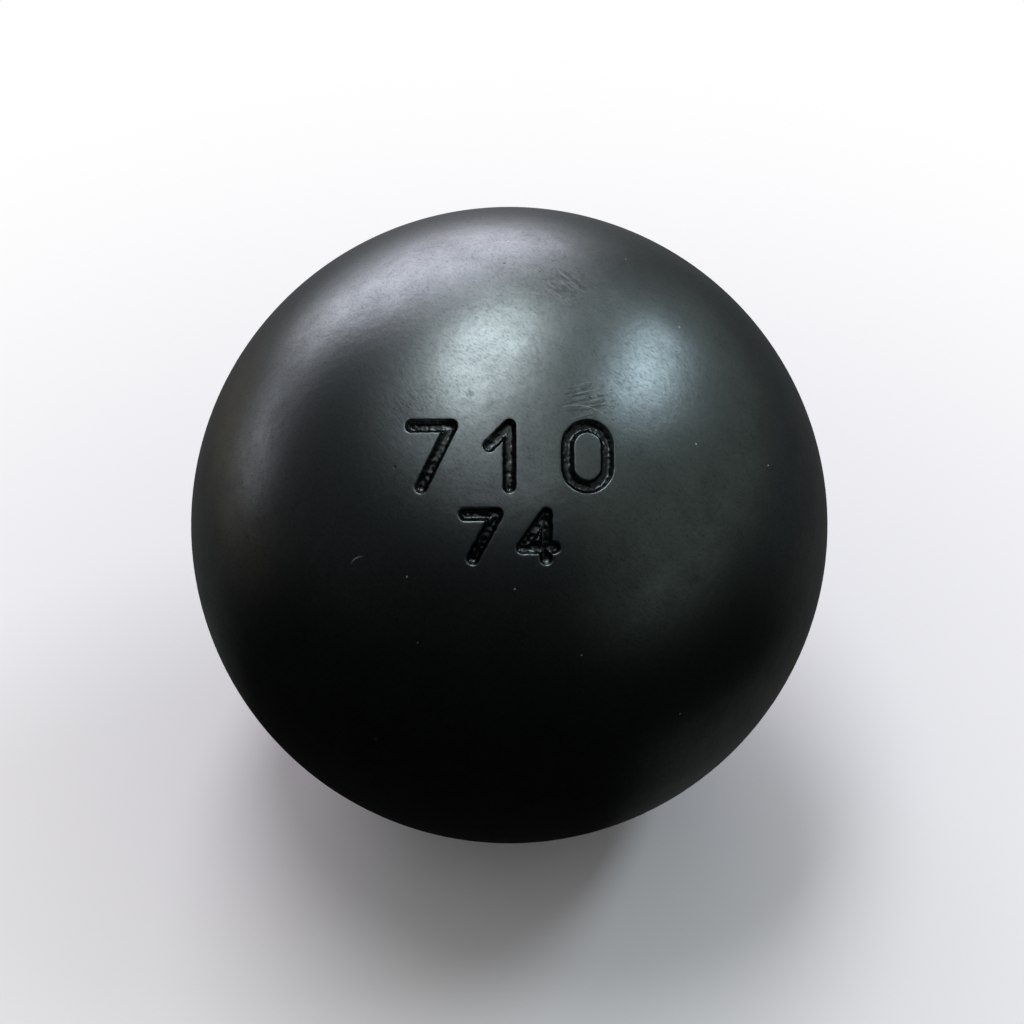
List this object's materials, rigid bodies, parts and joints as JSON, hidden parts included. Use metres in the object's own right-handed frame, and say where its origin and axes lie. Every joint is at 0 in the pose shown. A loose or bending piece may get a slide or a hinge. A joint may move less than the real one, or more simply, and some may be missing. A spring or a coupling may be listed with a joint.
{
  "type": "petanque boule",
  "caption": "Hollow blackened steel boule of welded half shells, satin turned, engraved with plain figures for its weight and diameter.",
  "frame": {"origin": "centre of the ball, on the plane of the weld", "axes": "+Z is the axis that the half shells and the weld bead are turned about, out of the half shell that carries the engraved figures; the figures face -Y, tilted up 45 degrees, with +X to their right"},
  "size_m": [0.074, 0.074, 0.074],
  "materials": {
    "black_steel": "satin",
    "weld_steel": "satin"
  },
  "bodies": {
    "root": {"upper_half_shell": "black_steel", "lower_half_shell": "black_steel", "weld_bead": "weld_steel"}
  },
  "joints": []
}
